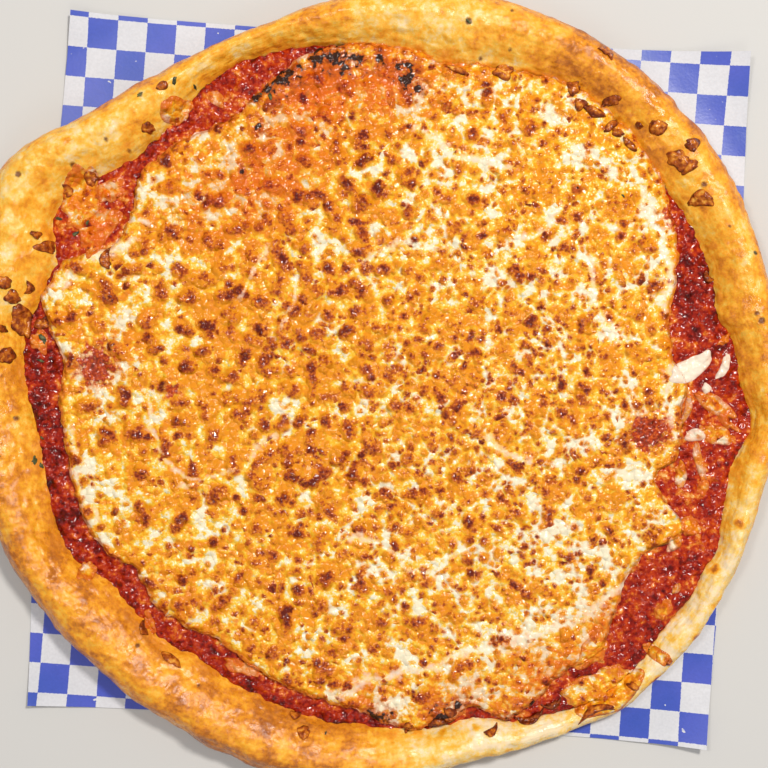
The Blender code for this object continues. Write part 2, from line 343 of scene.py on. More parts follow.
# The rim cut across, from the underside over the top to the foot of its slope. Each point is how
# far in from the outline it lies and how high, as shares of the rim's width and height
RIM_SECTION = (
    (0.55, 0.00),
    (0.20, 0.00),
    (0.07, 0.07),
    (0.01, 0.22),
    (0.00, 0.40),
    (0.03, 0.60),
    (0.10, 0.78),
    (0.22, 0.93),
    (0.36, 1.00),
    (0.50, 0.96),
    (0.64, 0.85),
    (0.78, 0.69),
    (0.90, 0.52),
    (1.00, 0.36),
    (1.15, 0.25),
)
# Where the clean rim begins, as (direction in degrees, millimetres from the middle)
RIM_FOOT = (
    (0, 158), (8, 157), (10, 151), (18, 153), (22, 154), (30, 153), (40, 152), (50, 154), (57, 154),
    (64, 149), (72, 145), (78, 141), (84, 144), (92, 147), (104, 150), (114, 152), (120, 149),
    (127, 142), (136, 144), (141, 147), (147, 157), (153, 158), (158, 149), (165, 149), (172, 154),
    (180, 152), (188, 147), (198, 149), (206, 152), (211, 150), (217, 143), (223, 143), (230, 145),
    (237, 141), (245, 144), (256, 146), (264, 148), (274, 149), (281, 151), (287, 150), (292, 158),
    (300, 163), (306, 168), (313, 167), (320, 163), (325, 166), (330, 163), (334, 166), (341, 160),
    (347, 158), (354, 166),
)
# Small pits in the skin, with painted shade in them, as (direction, millimetres from the middle, radius in
# millimetres)
PITS = (
    (9.3, 168.5, 1.3), (10.5, 167, 0.9), (19, 173.5, 0.8), (24, 167, 0.5), (31.2, 166, 1.1),
    (75.5, 161, 1.3), (68, 156, 0.6), (72, 149, 0.6), (129, 160, 0.9), (137.7, 156, 0.7),
    (149.5, 177, 1.2), (144, 160.5, 1.0), (69.8, 171.5, 0.6), (227.8, 152.5, 0.8), (239.7, 151, 0.6),
    (185.5, 156, 1.0), (37.5, 171, 0.7), (136.5, 147, 0.7),
)
# Each zone of the rim is (direction in degrees, width in degrees, strength)
PALE_ZONES = (
    (310, 17, 1.0), (285, 10, 0.75), (336, 9, 0.45), (168, 10, 0.25), (20, 9, 0.3), (142, 10, 0.5),
    (85, 10, 0.4),
)
DARK_ZONES = (
    (56, 4, 0.7), (48, 9, 0.5), (210, 8, 0.5), (225, 12, 0.45), (256, 13, 1.6), (34, 8, 0.3),
    (8, 13, 0.7), (192, 18, 1.0),
)
OILY_ZONES = (
    (160, 6, 1.0), (203, 7, 1.0), (220, 6, 0.7), (66, 7, 1.0), (12, 7, 0.9), (142, 5, 0.7), (182, 4, 0.7),
)


def reach_of(node, measure):
    """The largest measure of a CAD node's corners in each direction from the pizza's middle."""
    best = np.full(CAD_CORNERS, -1.0)
    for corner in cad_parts[node].data.vertices:
        offset = corner.co - PIZZA_MIDDLE
        if offset.xy.length > 0.001:
            turn = math.atan2(offset.y, offset.x) / math.tau * CAD_CORNERS
            slot = round(turn) % CAD_CORNERS
            best[slot] = max(best[slot], measure(offset))
    return best


def round_curve(samples, degrees, waves=64):
    """A smooth curve through samples taken all the way round, read at an array of directions."""
    spectrum = np.fft.rfft(samples) / len(samples)
    turns = np.radians(degrees)
    total = np.full(turns.shape, spectrum[0].real)
    for wave in range(1, waves):
        total += 2 * (spectrum[wave] * np.exp(1j * wave * turns)).real
    return total


def round_line(stops, degrees, softness=1.3):
    """A soft line through (direction, millimetres) stops, in metres at an array of directions."""
    angles, sizes = np.array(stops, dtype=float).T
    half_degrees = np.arange(720) / 2
    even = np.interp(half_degrees, angles, sizes, period=360)
    steps = np.arange(-12, 13)
    weights = np.exp(-0.5 * (steps / 2 / softness) ** 2)
    even = sum(weight * np.roll(even, step) for weight, step in zip(weights, steps)) / weights.sum()
    return np.interp(np.asarray(degrees) % 360, half_degrees, even, period=360) / 1000


crust_reach = reach_of("crust", lambda p: p.xy.length)
rim_top = reach_of("crust", lambda p: p.z)


def rim_foot(degrees):
    """Where the rim begins, in metres from the middle."""
    outer = round_curve(crust_reach, degrees) - CRUST_INSET
    return np.minimum(round_line(RIM_FOOT, degrees), outer - NARROWEST_RIM)


def smooth_section(points, count):
    """Points at even steps along a smooth line that passes through a few points."""
    knots = np.array(points)
    padded = np.vstack((2 * knots[0] - knots[1], knots, 2 * knots[-1] - knots[-2]))
    line = []
    for before, here, there, after in zip(padded, padded[1:], padded[2:], padded[3:]):
        for part in np.linspace(0, 1, 20, endpoint=False):
            bend = (there - before) * part
            bend = bend + (2 * before - 5 * here + 4 * there - after) * part**2
            bend = bend + (3 * here - before - 3 * there + after) * part**3
            line.append(here + bend / 2)
    line = np.array(line + [knots[-1]])
    lengths = np.concatenate(((0,), np.cumsum(np.linalg.norm(np.diff(line, axis=0), axis=1))))
    even = np.linspace(0, lengths[-1], count)
    return np.stack([np.interp(even, lengths, line[:, axis]) for axis in (0, 1)], axis=1)


def soft_step(values, low, high):
    """0 below low, 1 above high, and a smooth rise between them."""
    share = np.clip((values - low) / (high - low), 0, 1)
    return share * share * (3 - 2 * share)


def add_attribute(mesh, key, values):
    """Stores one number, or one vector, for each corner of the mesh."""
    values = np.asarray(values, dtype=np.float32)
    if values.ndim == 2:
        mesh.attributes.new(key, "FLOAT_VECTOR", "POINT").data.foreach_set("vector", values.ravel())
    else:
        mesh.attributes.new(key, "FLOAT", "POINT").data.foreach_set("value", values)


def show_rings(name, rings, **attributes):
    """A closed solid: a grid wrapped round to an array of rings, bottom first, and then capped."""
    count, around, _ = rings.shape
    bpy.ops.object.select_all(action="DESELECT")
    bpy.ops.mesh.primitive_grid_add(
        x_subdivisions=around, y_subdivisions=count - 1, size=2, location=(0, 0, 0)
    )
    obj = bpy.context.object
    obj.name = name
    sheet = points_of(obj.data)
    side = np.rint((sheet[:, 0] + 1) / 2 * around).astype(int) % around
    ring = np.rint((sheet[:, 1] + 1) / 2 * (count - 1)).astype(int)
    move_points(obj.data, rings[ring, side])
    for key, values in attributes.items():
        width = values.shape[2:] if values.ndim == 3 else ()
        add_attribute(obj.data, key, np.broadcast_to(values, (count, around) + width)[ring, side])
    bpy.ops.object.mode_set(mode="EDIT")
    bpy.ops.mesh.select_all(action="SELECT")
    bpy.ops.mesh.remove_doubles(threshold=MERGE_DISTANCE)
    bpy.ops.mesh.select_all(action="DESELECT")
    bpy.ops.mesh.select_non_manifold()
    bpy.ops.mesh.fill_holes(sides=0)
    bpy.ops.mesh.quads_convert_to_tris()
    bpy.ops.object.mode_set(mode="OBJECT")
    bpy.ops.object.shade_smooth()
    return obj


def near_turn(degrees, centre, width):
    """1 in one direction from the middle, falling away softly to both sides."""
    return np.exp(-0.5 * (((degrees - centre + 180) % 360 - 180) / width) ** 2)


def round_zones(degrees, zones):
    """The sum of soft zones round the pizza."""
    return sum(strength * near_turn(degrees, centre, width) for centre, width, strength in zones)


def round_points(radius, turns, height=0.0, middle=(0.0, 0.0)):
    """Points at distances and directions from a middle, and at a height."""
    parts = middle[0] + radius * np.cos(turns), middle[1] + radius * np.sin(turns), height
    return np.stack(np.broadcast_arrays(*parts), axis=-1)


degrees = np.arange(AROUND) * 360 / AROUND
turns = np.radians(degrees)
outer = round_curve(crust_reach, degrees) - CRUST_INSET
foot = rim_foot(degrees) + layered(round_points(NOISE_RADIUS, turns), FOOT_WANDER)
height = round_curve(rim_top, degrees, RIM_TOP_WAVES) - CRUST_BASE - CRUST_LOWERED
section = smooth_section(RIM_SECTION, RIM_STEPS)
inset, rise = section[:, 0][:, None], section[:, 1][:, None]
radius = outer - inset * (outer - foot)
level = CRUST_BASE + np.maximum(rise * height, np.where(inset > 0.8, FLOOR_HEIGHT, 0))
rings = round_points(radius, turns, level, PIZZA_MIDDLE)
flat = rings.reshape(-1, 3)
# Coordinates that follow the rim, so that marks can be made long round it and short across it
lengths = np.linalg.norm(np.diff(section * USUAL_RIM, axis=0), axis=1)
along_section = np.concatenate(((0,), np.cumsum(lengths)))[:, None]
grain = round_points(GRAIN_RADIUS, turns, along_section)
outward = np.cross(np.roll(rings, -1, axis=1) - np.roll(rings, 1, axis=1), np.gradient(rings, axis=0))
outward /= np.linalg.norm(outward, axis=-1, keepdims=True)
long_grain = grain.reshape(-1, 3) * LONG_MARKS
folds = 1 - 2 * np.abs(unevenness(long_grain + 3.3, FOLD_SIZE))
# Round puffs where gas has lifted the skin, thrown all over the rim
wanderer = random.Random(5)
puffs = np.zeros(len(flat))
for _ in range(PUFFS):
    step = wanderer.randrange(8, RIM_STEPS - 10)
    side = wanderer.randrange(AROUND)
    size = wanderer.uniform(*PUFF_SIZE)
    away = np.linalg.norm(flat - rings[step, side], axis=1) / size
    puff = np.clip(1 - away**2, 0, 1) ** 1.5 * size * wanderer.uniform(*PUFF_RISE)
    puffs = np.maximum(puffs, puff)
lift = layered(flat, SKIN_LUMPS) + layered(long_grain, SKIN_STREAKS) + FOLD_HEIGHT * folds + puffs
lift = lift.reshape(rings.shape[:2])
free = soft_step(rise, 0.02, 0.25) * (1 - soft_step(inset, 0.99, 1.10))
rings += outward * (lift * free)[:, :, None]
pit = np.full(len(flat), 9.0)
for turn, distance, size in PITS:
    centre = round_points(distance / 1000, math.radians(turn), 0, PIZZA_MIDDLE)
    away = np.hypot(flat[:, 0] - centre[0], flat[:, 1] - centre[1]) * 1000 - size
    pit = np.where(flat[:, 2] > CRUST_BASE + PIT_FREE_HEIGHT, np.minimum(pit, away), pit)
pit = pit.reshape(rings.shape[:2])
rings[:, :, 2] -= PIT_DEPTH * (1 - soft_step(pit, -1.0, 0.6)) * (rise > 0.3)
lowest = (cad_low.x + MARGIN_IN_BOX, cad_low.y + MARGIN_IN_BOX, CRUST_BASE)
highest = np.array(cad_high) - MARGIN_IN_BOX
rings = np.clip(rings, lowest, highest)
crust = show_rings(
    "crust_dough",
    rings,
    grain=grain,
    across=inset,
    pale=round_zones(degrees, PALE_ZONES),
    dark=round_zones(degrees, DARK_ZONES),
    oily=round_zones(degrees, OILY_ZONES) * np.exp(-0.5 * ((inset - 0.42) / 0.16) ** 2),
    raised=lift * 1000,
    pit=pit,
)

dough, shader, add, connect = finish_material("baked_dough")
place = add("TexCoord").node.outputs["Object"]


def attribute(add, name, output="Fac"):
    """A number, or a vector, stored on the mesh."""
    return add("Attribute", attribute_name=name).node.outputs[output]


def math_line(add, value, factor, extra):
    """value * factor + extra."""
    return add("Math", value, factor, extra, operation="MULTIPLY_ADD")


def plus(add, first, second):
    """first + second."""
    return add("Math", first, second, operation="ADD")


def times(add, first, second):
    """first * second."""
    return add("Math", first, second, operation="MULTIPLY")


def stirred(add, place, moved, scale, detail, amount):
    """Places that are moved about by a noise, so that what is drawn on them loses its evenness."""
    push = add("TexNoise", place, Scale=scale, Detail=detail).node.outputs["Color"]
    return add("VectorMath", push, amount, moved, operation="MULTIPLY_ADD")


grain_place = attribute(add, "grain", "Vector")
stretched = add("VectorMath", grain_place, (0.25, 0.25, 1.0), operation="MULTIPLY")
patches = add("TexNoise", stretched, Scale=75.0, Detail=3.0)
blotches = add("TexNoise", place, Scale=120.0, Detail=4.0, Roughness=0.6)
streaky = add("TexNoise", stretched, Scale=480.0, Detail=3.0, Roughness=0.6)
specks = add("TexNoise", place, Scale=520.0, Detail=4.0, Roughness=0.65)
paleness, across_rim = attribute(add, "pale"), attribute(add, "across")
drawn_out = math_line(add, patches, 0.55, math_line(add, streaky, 0.25, -0.36))
drawn_out = times(add, drawn_out, add("MapRange", paleness, 0.0, 0.7, 1.0, 0.3))
tone = math_line(add, blotches, 1.2, math_line(add, specks, 0.80, -0.50))
tone = plus(add, tone, drawn_out)
tone = math_line(add, attribute(add, "raised"), 0.10, tone)
tone = math_line(add, paleness, -0.34, tone)
tone = math_line(add, attribute(add, "dark"), 0.16, tone)
tone = plus(add, add("MapRange", across_rim, 0.26, 0.0, 0.0, 0.24), tone)
# Painted shade: the inner slope is made a little deeper orange, to warm the shade that falls on it
tone = plus(add, add("MapRange", across_rim, 0.45, 0.90, 0.0, 0.04), tone)
# The paler dough has small round browned blisters
cells = add("TexVoronoi", stirred(add, place, place, 300.0, 2.0, (0.0022, 0.0022, 0.0022)), Scale=125.0)
round_spot = add("MapRange", cells, 0.36, 0.14, 0.0, 1.0)
chosen = add("MapRange", add("SeparateColor", cells.node.outputs["Color"]), 0.40, 0.70, 0.0, 1.0)
freckle = times(add, round_spot, chosen)
freckle = times(add, freckle, add("MapRange", paleness, 0.2, 0.8, 0.10, 0.62))
tone = plus(add, freckle, tone)
skin = ramped(
    add,
    times(add, tone, 0.72),
    (0.06, (0.92, 0.71, 0.43)),
    (0.19, (0.93, 0.62, 0.20)),
    (0.30, (0.94, 0.51, 0.055)),
    (0.43, (0.92, 0.38, 0.016)),
    (0.56, (0.75, 0.25, 0.010)),
    (0.68, (0.50, 0.145, 0.008)),
    (0.84, (0.32, 0.078, 0.006)),
    (1.00, (0.17, 0.036, 0.005)),
)
# Oil and tomato have stained the foot of the slope orange
stain = math_line(add, blotches, 3.2, math_line(add, across_rim, 3.0, -4.0))
stain = add("MapRange", stain, 0.1, 1.0, 0.0, 0.75)
skin = mixed(add, stain, skin, mixed(add, blotches, STAIN_RED, STAIN_ORANGE))
# The pits are painted dark brown: painted shade for the inside of each hole
hole = add("MapRange", math_line(add, specks, 1.2, attribute(add, "pit")), 0.4, 1.2, 0.9, 0.0)
skin = mixed(add, hole, skin, PIT_SHADE)
connect(skin, shader.inputs["Base Color"])
oiliness = attribute(add, "oily")
sheen = add("TexNoise", place, Scale=140.0, Detail=2.0)
gloss = math_line(add, oiliness, -0.10, add("MapRange", sheen, 0.35, 0.65, 0.19, 0.38))
connect(gloss, shader.inputs["Roughness"])
shader.inputs["Specular IOR Level"].default_value = 0.48
shader.inputs["Subsurface Weight"].default_value = 0.06
shader.inputs["Subsurface Scale"].default_value = 0.002
dimples = add("TexNoise", place, Scale=300.0, Detail=0.0)
wrinkles = add("TexNoise", stretched, Scale=420.0, Detail=1.0)
bumps = math_line(add, dimples, 1.1, times(add, wrinkles, 0.55))
bumps = math_line(add, specks, 0.45, bumps)
roughen(add, connect, shader, bumps, SKIN_RELIEF, add("MapRange", oiliness, 0.0, 1.0, 0.60, 1.0))
crust.data.materials.append(dough)
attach(crust, "root")
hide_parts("crust")


# Tomato sauce
# Cooked tomato pulp spread on the dough. It shows in an open band round the cheese, where it is
# deep red, wet and lumpy, and is darker along its outer edge.
SAUCE_STEPS = 42
SAUCE_AROUND = 1440
SAUCE_OVERLAP = 0.0016
SAUCE_UNDER_CHEESE = 0.009
SAUCE_SUNK = 0.0012
SAUCE_RAISE = 0.0005
SAUCE_LEAST = 0.0006
SAUCE_IN_DOUGH = 0.0008
EDGE_DROP = 0.0004
SAUCE_EDGE_WANDER = ((0.0045, 0.0010, 2),)
SAUCE_LUMPS = ((0.010, 0.0006, 2), (0.0042, 0.00075, 2))
PULP_SIZE = 0.0022
PULP_HEIGHT = 0.00030
SAUCE_RELIEF = 0.0012
# The sauce next to the cheese is oiled this strongly, this far out, and fades over this width
OILED_BY_CHEESE = 0.55
OILED_REACH = 0.0140
OILED_FADE = 0.0055
# Where the cheese ends, as (direction in degrees, millimetres from the middle)
CHEESE_EDGE = (
    (0, 137), (5, 130), (12, 131), (18, 138), (25, 146), (33, 152), (42, 157), (57, 157), (64, 151),
    (72, 147), (78, 143), (84, 148), (92, 149), (101, 148), (106, 143), (112, 137), (118, 132),
    (124, 134), (130, 137), (138, 138), (142, 134), (146, 128), (153, 130), (158, 146), (165, 151),
    (169, 146), (176, 136), (184, 138), (195, 138), (206, 141), (213, 138), (218, 131), (225, 137),
    (231, 135), (238, 131), (246, 134), (256, 139), (265, 141), (271, 148), (276, 152), (283, 152),
    (287, 146), (291, 157), (296, 156), (302, 151), (310, 153), (316, 146), (322, 138), (329, 140),
    (335, 152), (339, 132), (342, 128), (346, 136), (352, 136), (356, 134),
)
# Where cheese and its oil have run into the sauce, as (direction, width in degrees, strength)
OILED_ZONES = (
    (352, 9, 0.75), (335, 7, 0.55), (318, 7, 0.35), (150, 5, 1.0), (300, 8, 0.5), (118, 8, 0.6),
    (244, 10, 0.4),
)

degrees = np.arange(SAUCE_AROUND) * 360 / SAUCE_AROUND
turns = np.radians(degrees)
outer = rim_foot(degrees) + SAUCE_OVERLAP
outer += layered(round_points(NOISE_RADIUS, turns) + 0.7, SAUCE_EDGE_WANDER)
start = round_line(CHEESE_EDGE, degrees) - SAUCE_UNDER_CHEESE
share = np.linspace(0, 1, SAUCE_STEPS)[:, None]
radius = outer + (start - outer) * share
bed = round_points(radius, turns, SAUCE_TOP, PIZZA_MIDDLE)
pulp = unevenness(bed.reshape(-1, 3), PULP_SIZE, 2).reshape(radius.shape)
lumps = layered(bed.reshape(-1, 3), SAUCE_LUMPS).reshape(radius.shape) + PULP_HEIGHT * pulp
from_edge = (outer - radius) * 1000
under_cheese = soft_step(start + SAUCE_UNDER_CHEESE - radius, 0.0005, 0.0035)
bed[:, :, 2] += SAUCE_RAISE + lumps - EDGE_DROP * np.exp(-((from_edge / 1.5) ** 2))
bed[:, :, 2] = np.maximum(bed[:, :, 2], CRUST_BASE + FLOOR_HEIGHT + SAUCE_LEAST)
bed[:, :, 2] -= SAUCE_SUNK * under_cheese
below = bed[0].copy()
below[:, 2] = CRUST_BASE + FLOOR_HEIGHT - SAUCE_IN_DOUGH
oiled = round_zones(degrees, OILED_ZONES)
oiled = oiled + OILED_BY_CHEESE * soft_step(start + OILED_REACH - radius, 0.0, OILED_FADE)
sauce = show_rings(
    "tomato_sauce",
    np.concatenate((below[None], bed)),
    pulp=np.concatenate((pulp[:1], pulp)),
    margin=np.concatenate((from_edge[:1], from_edge)),
    oiled=np.concatenate((oiled[:1], oiled)),
)

tomato, shader, add, connect = finish_material("tomato_sauce")
place = add("TexCoord").node.outputs["Object"]
swirl = stirred(add, place, place, 110.0, 2.0, (0.010, 0.010, 0.0))
patches = add("TexNoise", swirl, Scale=140.0, Detail=3.0)
bits = add("TexNoise", place, Scale=480.0, Detail=4.0, Roughness=0.6)
tone = plus(add, patches, math_line(add, bits, 0.9, -0.43))
tone = math_line(add, attribute(add, "pulp"), 0.10, tone)
tone = math_line(add, attribute(add, "oiled"), 0.17, tone)
# The sauce is made darker within 4 mm of its outer edge
tone = plus(add, add("MapRange", attribute(add, "margin"), 4.0, 1.0, 0.0, -0.08), tone)
red = ramped(
    add,
    tone,
    (0.22, (0.055, 0.002, 0.001)),
    (0.40, (0.16, 0.004, 0.001)),
    (0.54, (0.33, 0.011, 0.002)),
    (0.70, (0.51, 0.045, 0.004)),
    (0.83, (0.74, 0.18, 0.012)),
    (0.96, (0.88, 0.46, 0.12)),
)
connect(red, shader.inputs["Base Color"])
connect(add("MapRange", bits, 0.3, 0.7, 0.13, 0.24), shader.inputs["Roughness"])
shader.inputs["Specular IOR Level"].default_value = 0.33
grains = add("Math", add("TexVoronoi", place, Scale=330.0), 2.0, operation="POWER")
wet = math_line(add, grains, -0.9, add("TexNoise", place, Scale=260.0, Detail=1.0))
roughen(add, connect, shader, wet, SAUCE_RELIEF)
sauce.data.materials.append(tomato)
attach(sauce, "root")
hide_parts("sauce")


# Cheese
# Melted cheese that spread to an uneven edge on the sauce. It is ivory where it is bare, golden
# where oil came out of it, and brown and shiny on its blisters, which are small and close together
# at the lower right and large and irregular at the left.
CHEESE_CELLS = 308
CHEESE_THICKNESS = 0.0032
CHEESE_BASE = SAUCE_TOP + 0.0001
CHEESE_RAISE = 0.0003
EDGE_SLOPE = 0.0011
EDGE_LIP = 0.0012
EDGE_TUCK = 0.003
# Layers of unevenness, each (size of its bumps, height in metres, octaves)
CHEESE_EDGE_WANDER = ((0.010, 0.0011, 2), (0.0042, 0.0012, 2))
CHEESE_SWELL = ((0.030, 0.0005, 2),)
CHEESE_RIPPLES = ((0.0055, 0.00030, 2), (0.0024, 0.00012, 1))
CHEESE_RELIEF = 0.0012
OIL_TINT = (0.84, 0.36, 0.10, 1)
EDGE_RED = (0.62, 0.12, 0.012, 1)
ORANGE_OIL = (0.82, 0.26, 0.012, 1)
CREAM = (0.90, 0.81, 0.66, 1)
SCORCHED = (0.50, 0.085, 0.008, 1)
CHARRED = (0.016, 0.006, 0.004, 1)
# Large blisters are thrown at random over a disc, this many millimetres apart, and closer in some
# zones, each (x, y, size, millimetres added to the gap)
BLISTER_FIELD = 141
BLISTER_THROWS = 3000
BLISTER_SPACING = 19.5
LARGE_SPACING = ((-72, 20, 45, -10.5), (5, 95, 42, -8.5), (-25, -80, 42, -7.5), (-10, 5, 40, -5.0))
# Each blister is a row of blobs that run together, in millimetres
BLISTER_DARKNESS = (0.3, 0.4, 0.5, 0.6, 0.8, 1.0)
LARGER_AT_LEFT = 1.3
BLISTER_HALF_LENGTH = (0.8, 4.2)
BLOBS_IN_ROW = (4, 10)
BLOB_SIZE = (0.9, 2.1)
BLOB_SCATTER = 0.8
BLOBS_RUN_TOGETHER = 0.7
BLOB_RISE = 0.30
BLOB_SPREAD = 1.35
NO_BLISTER = 6.0
# The marks that stand out, each (x, y, radius, darkness) in millimetres from the middle
LARGE_MARKS = (
    (-32.6, -15.7, 2.2, 1.0), (-21.7, -14.8, 2.1, 1.0), (-39.1, -49.2, 2.6, 1.0), (-70.4, -68.8, 2.2, 1.0),
    (43.6, 13.5, 2.3, 0.9), (24.0, 12.6, 2.0, 0.9), (89.3, -37.4, 2.2, 0.8), (85.0, -75.3, 2.0, 0.5),
    (-54.3, 101.9, 3.4, 0.6), (5.7, 36.6, 2.2, 0.8), (-92.0, -1.0, 2.4, 1.2), (88.0, 84.5, 1.6, 1.4),
)
# Zones of colour, each (x, y, size, strength) in millimetres from the middle
GOLD_ZONES = (
    (-70, 45, 30, 0.30), (-20, 100, 24, 0.36), (15, 5, 38, 0.12), (-65, -40, 34, 0.24), (40, -40, 20, 0.02),
    (75, -85, 25, -0.22), (88, 30, 30, -0.08), (60, 75, 26, -0.08), (-85, -80, 20, -0.06),
    (22, 86, 28, -0.18), (-30, 45, 16, -0.12), (-110, 45, 14, -0.12), (0, -95, 24, -0.04),
    (115, 60, 16, -0.20), (-12, 138, 17, 0.40), (58, -48, 38, -0.15),
)
TINT_ZONES = (
    (-62, 85, 20, 0.7), (-92, 75, 12, 0.3), (-28, 132, 16, 1.2), (10, 132, 13, 1.1), (-112, 22, 12, 0.5),
    (-5, -138, 13, 0.6), (40, -142, 14, 0.7), (80, -130, 15, 1.0), (105, -108, 12, 0.9),
    (45, 128, 12, 0.35), (-40, 95, 16, 0.5), (-108, -20, 12, 0.35), (-80, -95, 14, 0.30),
)
FRECKLE_ZONES = (
    (62, -35, 48, 0.65), (20, -10, 38, 0.50), (-20, -90, 40, 0.30), (20, 75, 45, 0.30),
    (-85, 25, 50, -0.30), (-15, 95, 24, -0.20), (95, 50, 34, 0.35),
)
RED_ZONES = ((119, -21, 6.0, 1.6), (-121, 8, 7.0, 1.3), (131, 74, 4.0, 1.3), (-88, -2, 3.0, 0.9))
# Burnt places, each (x, y, radius) in millimetres
BURNT = (
    (-46, 130, 5.5), (-38, 135, 5.5), (-51, 126, 3.6), (-25, 142, 5.5), (-17, 143, 6.0), (-9, 142, 4.5),
    (-14, 137, 4.0), (2, 140, 3.0), (13, 138, 4.0), (14, 132, 4.5), (18, 128, 3.0), (0, -147, 4.5),
    (6, -146, 4.0), (29, -145, 5.0), (37, -141, 3.2), (68, -141, 3.6), (61, -147, 3.6), (88, 85, 1.6),
    (-50, 112, 2.4), (-57, 93, 1.8), (-63, 117, 2.0),
)
# Bare pale streaks, each (half width, then the places it runs through) in millimetres
CREAM_STREAKS = (
    (4.6, (-107, 63), (-125, 52), (-137, 41)),
    (4.2, (115, 89), (124, 62), (126, 37)),
    (3.6, (127, 10), (127, -8), (130, -18)),
    (4.2, (-20, -136), (24, -122), (60, -112), (98, -98), (110, -84)),
    (2.2, (-106, 89), (-109, 80), (-108, 73), (-101, 71)),
    (2.6, (-32, 48), (-40, 24)),
    (3.0, (-48, 60), (-58, 36)),
    (4.0, (18, 112), (34, 100), (60, 96)),
    (3.5, (52, -22), (64, -34)),
    (2.5, (-134, -16), (-130, -42), (-120, -62)),
    (2.6, (-84, -45), (-60, -36), (-44, -20)),
    (2.4, (-100, -6), (-92, -34), (-80, -40)),
    (3.5, (92, 52), (104, 20)),
    (3.2, (-6, 52), (10, 64), (34, 62)),
    (3.0, (60, 62), (84, 76)),
    (2.5, (-10, -66), (14, -78), (40, -74)),
)
# The streaks wander by millimetres, and the zones' strengths by shares
STREAK_WANDER = ((0.016, 5.0, 2),)
GOLD_WANDER = ((0.024, 0.22, 2),)
TINT_WANDER = ((0.018, 0.22, 2),)


def add_disc(name, cells):
    """A grid bent into a disc, with each corner's distance from the middle (0 to 1) and direction."""
    bpy.ops.object.select_all(action="DESELECT")
    bpy.ops.mesh.primitive_grid_add(
        x_subdivisions=cells, y_subdivisions=cells, size=2, location=(0, 0, 0)
    )
    obj = bpy.context.object
    obj.name = name
    bpy.ops.object.shade_smooth()
    square = points_of(obj.data)
    wide = np.abs(square[:, 0]) > np.abs(square[:, 1])
    far = np.where(wide, square[:, 0], square[:, 1])
    part = np.where(wide, square[:, 1], square[:, 0]) / np.where(far == 0, 1, far) * math.pi / 4
    turn = np.where(wide, part, math.pi / 2 - part) + np.where(far < 0, math.pi, 0)
    return obj, np.abs(far), turn % math.tau


def close_below(obj, drop, tuck):
    """Pulls the open edge down and in, and closes it with one flat face."""
    middle = points_of(obj.data).mean(axis=0)
    below = (middle[0], middle[1], middle[2] - drop)
    bpy.ops.object.mode_set(mode="EDIT")
    bpy.ops.mesh.select_all(action="SELECT")
    bpy.ops.mesh.region_to_loop()
    bpy.ops.mesh.extrude_edges_move(TRANSFORM_OT_translate={"value": (0, 0, -drop)})
    bpy.ops.transform.resize(value=(1 - tuck, 1 - tuck, 0), center_override=below)
    bpy.ops.mesh.edge_face_add()
    bpy.ops.mesh.quads_convert_to_tris()
    bpy.ops.object.mode_set(mode="OBJECT")


def soft_zones(x, y, zones):
    """The sum of soft round zones, each (x, y, size, strength), at places in millimetres."""
    total = 0 * x
    for zone_x, zone_y, size, strength in zones:
        away = (x - zone_x) ** 2 + (y - zone_y) ** 2
        total = total + strength * np.exp(-0.5 * away / size**2)
    return total


cheese, share, turns = add_disc("melted_cheese", CHEESE_CELLS)
heading = round_points(1.0, turns)
edge_reach = round_line(CHEESE_EDGE, np.degrees(turns), 0.9)
ragged = layered(heading * edge_reach[:, None], CHEESE_EDGE_WANDER)
reach = edge_reach * share + ragged * share**6
top = heading * reach[:, None]
level_place = top.copy()
x, y = top[:, 0] * 1000, top[:, 1] * 1000
to_edge = (edge_reach + ragged) * (1 - share)

thrower = random.Random(21)
large = [mark[:2] for mark in LARGE_MARKS]
for _ in range(BLISTER_THROWS):
    distance = BLISTER_FIELD * math.sqrt(thrower.random())
    turn = thrower.uniform(0, math.tau)
    mark_x, mark_y = distance * math.cos(turn), distance * math.sin(turn)
    gap = BLISTER_SPACING + soft_zones(mark_x, mark_y, LARGE_SPACING)
    if all((mark_x - old_x) ** 2 + (mark_y - old_y) ** 2 > gap**2 for old_x, old_y in large):
        large.append((mark_x, mark_y))
# Each blob is (x, y, radius, darkness)
blobs = []
for mark_x, mark_y, size, darkness in LARGE_MARKS:
    blobs.append((mark_x, mark_y, size, darkness))
    blobs.append((mark_x + thrower.gauss(0, 1), mark_y + thrower.gauss(0, 1), size * 0.8, darkness))
for mark_x, mark_y in large[len(LARGE_MARKS):]:
    turn = thrower.uniform(0, math.tau)
    darkness = thrower.choice(BLISTER_DARKNESS)
    larger = LARGER_AT_LEFT if mark_x < 0 else 1.0
    half_length = thrower.uniform(*BLISTER_HALF_LENGTH) * larger
    for _ in range(thrower.randrange(*BLOBS_IN_ROW)):
        step = thrower.uniform(-1, 1) * half_length
        blob_x = mark_x + step * math.cos(turn) + thrower.gauss(0, BLOB_SCATTER)
        blob_y = mark_y + step * math.sin(turn) + thrower.gauss(0, BLOB_SCATTER)
        blobs.append((blob_x, blob_y, thrower.uniform(*BLOB_SIZE) * larger, darkness))

# The distance to the nearest blister, below zero inside it, and further below in a darker one
spot = np.full(len(top), NO_BLISTER)
dome = np.zeros(len(top))
for blob_x, blob_y, size, darkness in blobs:
    reach = size + NO_BLISTER
    near = np.flatnonzero((np.abs(x - blob_x) < reach) & (np.abs(y - blob_y) < reach))
    away = np.hypot(x[near] - blob_x, y[near] - blob_y)
    inside = np.minimum(away - size, 0) * (0.35 + 0.9 * darkness) + np.maximum(away - size, 0)
    blend = np.clip(0.5 + 0.5 * (spot[near] - inside) / BLOBS_RUN_TOGETHER, 0, 1)
    spot[near] += (inside - spot[near]) * blend - BLOBS_RUN_TOGETHER * blend * (1 - blend)
    bulge = BLOB_RISE * size * np.clip(1 - (away / (BLOB_SPREAD * size)) ** 2, 0, 1)
    dome[near] = np.maximum(dome[near], bulge)

